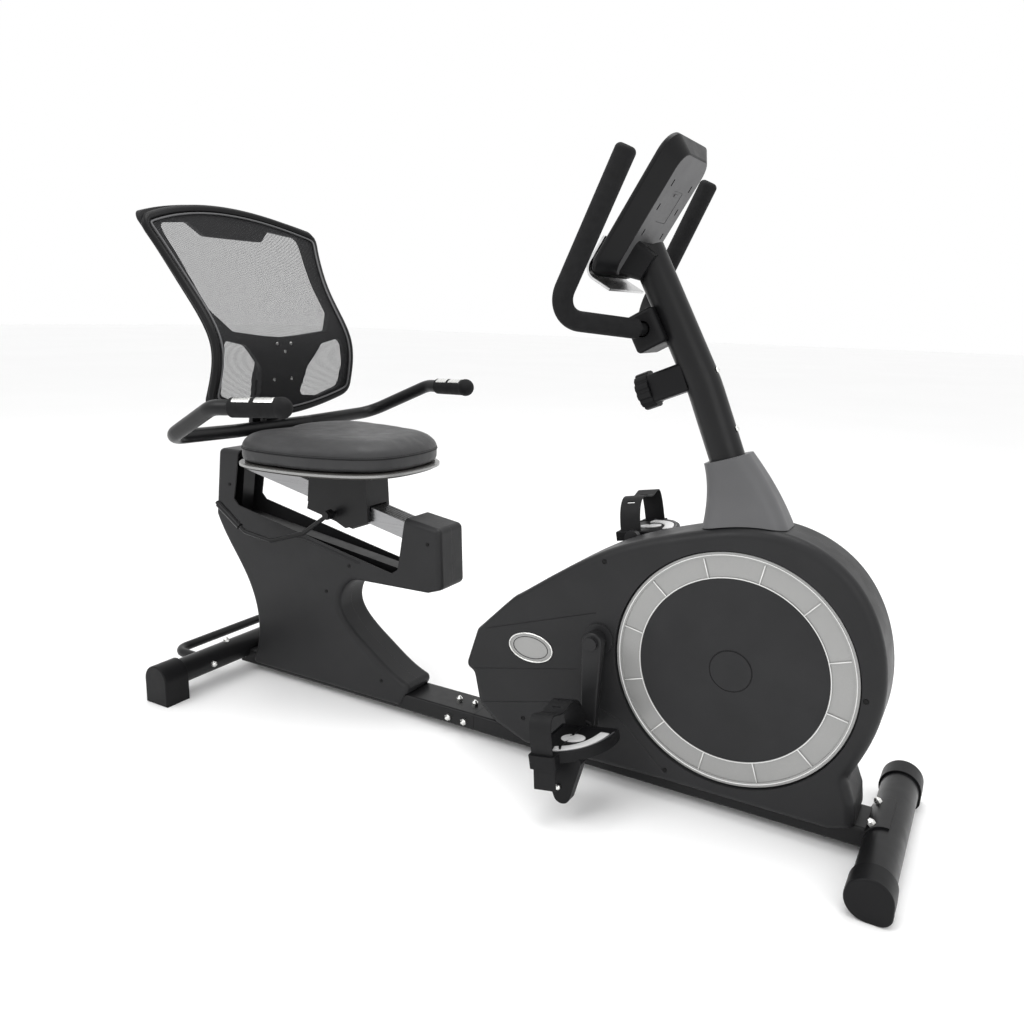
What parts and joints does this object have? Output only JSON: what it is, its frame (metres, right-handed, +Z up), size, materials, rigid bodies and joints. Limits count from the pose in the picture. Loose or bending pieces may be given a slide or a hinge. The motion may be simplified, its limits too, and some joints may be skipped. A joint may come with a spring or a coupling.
{
  "type": "recumbent exercise bike",
  "caption": "Recumbent exercise bike: low pedal drive in a round-nosed shell, sloping seat rail, padded seat with mesh backrest, side handles and a console post.",
  "frame": {"origin": "on the floor, under the middle of the bounding box, on the symmetry plane of the frame", "axes": "+X forward, from the seat to the console; +Y to the rider's left; +Z up"},
  "size_m": [1.701, 0.7394, 1.2037],
  "materials": {
    "black_tube": "satin powder coat",
    "shell_plastic": "satin, fine moulded grain",
    "neck_plastic": "satin, fine moulded grain",
    "black_plastic": "matte moulded",
    "strap_rubber": "matte",
    "grip_foam": "matte foam",
    "zinc": "bright zinc",
    "silver_ring": "silver lacquer",
    "aluminium_rail": "brushed lengthways",
    "cast_iron": "machined rim",
    "screen_glass": "gloss",
    "plywood": "plain",
    "seat_vinyl": "fine-grain vinyl",
    "mesh_fabric": "ribbed open mesh"
  },
  "bodies": {
    "frame": {"front_beam": "black_tube", "rear_beam": "black_tube", "front_stabiliser": "black_tube", "front_caps": "black_plastic", "rear_stabiliser": "black_tube", "rear_feet": "black_plastic", "carry_handle": "black_tube", "frame_bolts": "zinc", "rear_cover_right": "shell_plastic", "rear_cover_left": "shell_plastic", "rear_frame": "black_tube", "seat_rail": "aluminium_rail", "drive_shell_right": "shell_plastic", "drive_shell_left": "shell_plastic", "cover_screws": "zinc", "inner_frame": "black_tube", "bearings": "zinc", "drive_belt": "strap_rubber", "post": "black_tube", "neck_cover": "neck_plastic", "handlebar": "black_tube", "bar_grips": "grip_foam", "clamp_cover": "black_plastic", "knob_housing": "black_plastic", "console_back": "neck_plastic", "battery_cover": "neck_plastic", "console_front": "shell_plastic", "console_screen": "screen_glass", "tablet_shelf": "silver_ring"},
    "crank": {"crank_axle": "zinc", "crank_pulley": "aluminium_rail", "crank_arm_right": "black_tube", "crank_arm_left": "black_tube"},
    "flywheel": {"flywheel": "cast_iron", "flywheel_shaft": "zinc", "disc_rings": "silver_ring", "disc_plates": "black_plastic"},
    "right_pedal": {"pedal_right": "black_plastic", "pedal_strap_right": "strap_rubber"},
    "left_pedal": {"pedal_left": "black_plastic", "pedal_strap_left": "strap_rubber"},
    "right_wheel": {"transport_wheel_right": "black_plastic"},
    "left_wheel": {"transport_wheel_left": "black_plastic"},
    "seat": {"seat_carriage": "black_tube", "carriage_glides": "black_plastic", "seat_bracket": "black_tube", "seat_base": "plywood", "seat_trim": "silver_ring", "seat_pad": "seat_vinyl", "seat_handles": "black_tube", "pulse_grips": "grip_foam", "backrest_frame": "black_plastic", "backrest_mesh": "mesh_fabric", "backrest_bracket": "black_tube"},
    "lever": {"seat_lever": "black_tube"},
    "knob": {"tension_knob": "black_plastic"},
    "magnet": {"magnet_arm": "black_tube"},
    "left_button": {"button_left": "black_plastic"},
    "middle_button": {"button_middle": "black_plastic"},
    "right_button": {"button_right": "black_plastic"}
  },
  "joints": [
    {"name": "crank_spin", "type": "hinge", "parent": "frame", "child": "crank", "pos_m": [0.271, 0, 0.301], "axis": [0, 1, 0], "continuous": true},
    {"name": "flywheel_spin", "type": "hinge", "parent": "frame", "child": "flywheel", "pos_m": [0.527, 0, 0.291], "axis": [0, 1, 0], "continuous": true},
    {"name": "right_pedal_spin", "type": "hinge", "parent": "crank", "child": "right_pedal", "pos_m": [0.271, -0.17, 0.131], "axis": [0, 1, 0], "continuous": true},
    {"name": "left_pedal_spin", "type": "hinge", "parent": "crank", "child": "left_pedal", "pos_m": [0.271, 0.17, 0.471], "axis": [0, 1, 0], "continuous": true},
    {"name": "right_wheel_spin", "type": "hinge", "parent": "frame", "child": "right_wheel", "pos_m": [0.8305, -0.197, 0.0195], "axis": [0, 1, 0], "continuous": true},
    {"name": "left_wheel_spin", "type": "hinge", "parent": "frame", "child": "left_wheel", "pos_m": [0.8305, 0.197, 0.0195], "axis": [0, 1, 0], "continuous": true},
    {"name": "seat_slide", "type": "slide", "parent": "frame", "child": "seat", "axis": [0.9778, 0, -0.2096], "range_m": [-0.18, 0.1]},
    {"name": "lever_lift", "type": "hinge", "parent": "seat", "child": "lever", "pos_m": [-0.405, -0.062, 0.452], "axis": [0, 1, 0], "range_deg": [0, 9], "stiffness_Nm_per_rad": 8, "springref_deg": -4.58},
    {"name": "knob_turn", "type": "hinge", "parent": "frame", "child": "knob", "pos_m": [0.41121, 0, 0.81405], "axis": [-0.9239, 0, -0.3827], "range_deg": [0, 270]},
    {"name": "magnet_swing", "type": "hinge", "parent": "frame", "child": "magnet", "pos_m": [0.668, 0, 0.262], "axis": [0, 1, 0], "range_deg": [0, 3]},
    {"name": "left_button_press", "type": "slide", "parent": "frame", "child": "left_button", "axis": [0.8526, 0, -0.5225], "range_m": [0, 0.0015], "stiffness_N_per_m": 400, "springref_m": -0.0005},
    {"name": "middle_button_press", "type": "slide", "parent": "frame", "child": "middle_button", "axis": [0.8526, 0, -0.5225], "range_m": [0, 0.0015], "stiffness_N_per_m": 400, "springref_m": -0.0005},
    {"name": "right_button_press", "type": "slide", "parent": "frame", "child": "right_button", "axis": [0.8526, 0, -0.5225], "range_m": [0, 0.0015], "stiffness_N_per_m": 400, "springref_m": -0.0005}
  ],
  "couplings": [
    {"joint": "crank_spin", "follows": "flywheel_spin", "ratio": 0.14783},
    {"joint": "magnet_swing", "follows": "knob_turn", "ratio": 0.011111}
  ]
}
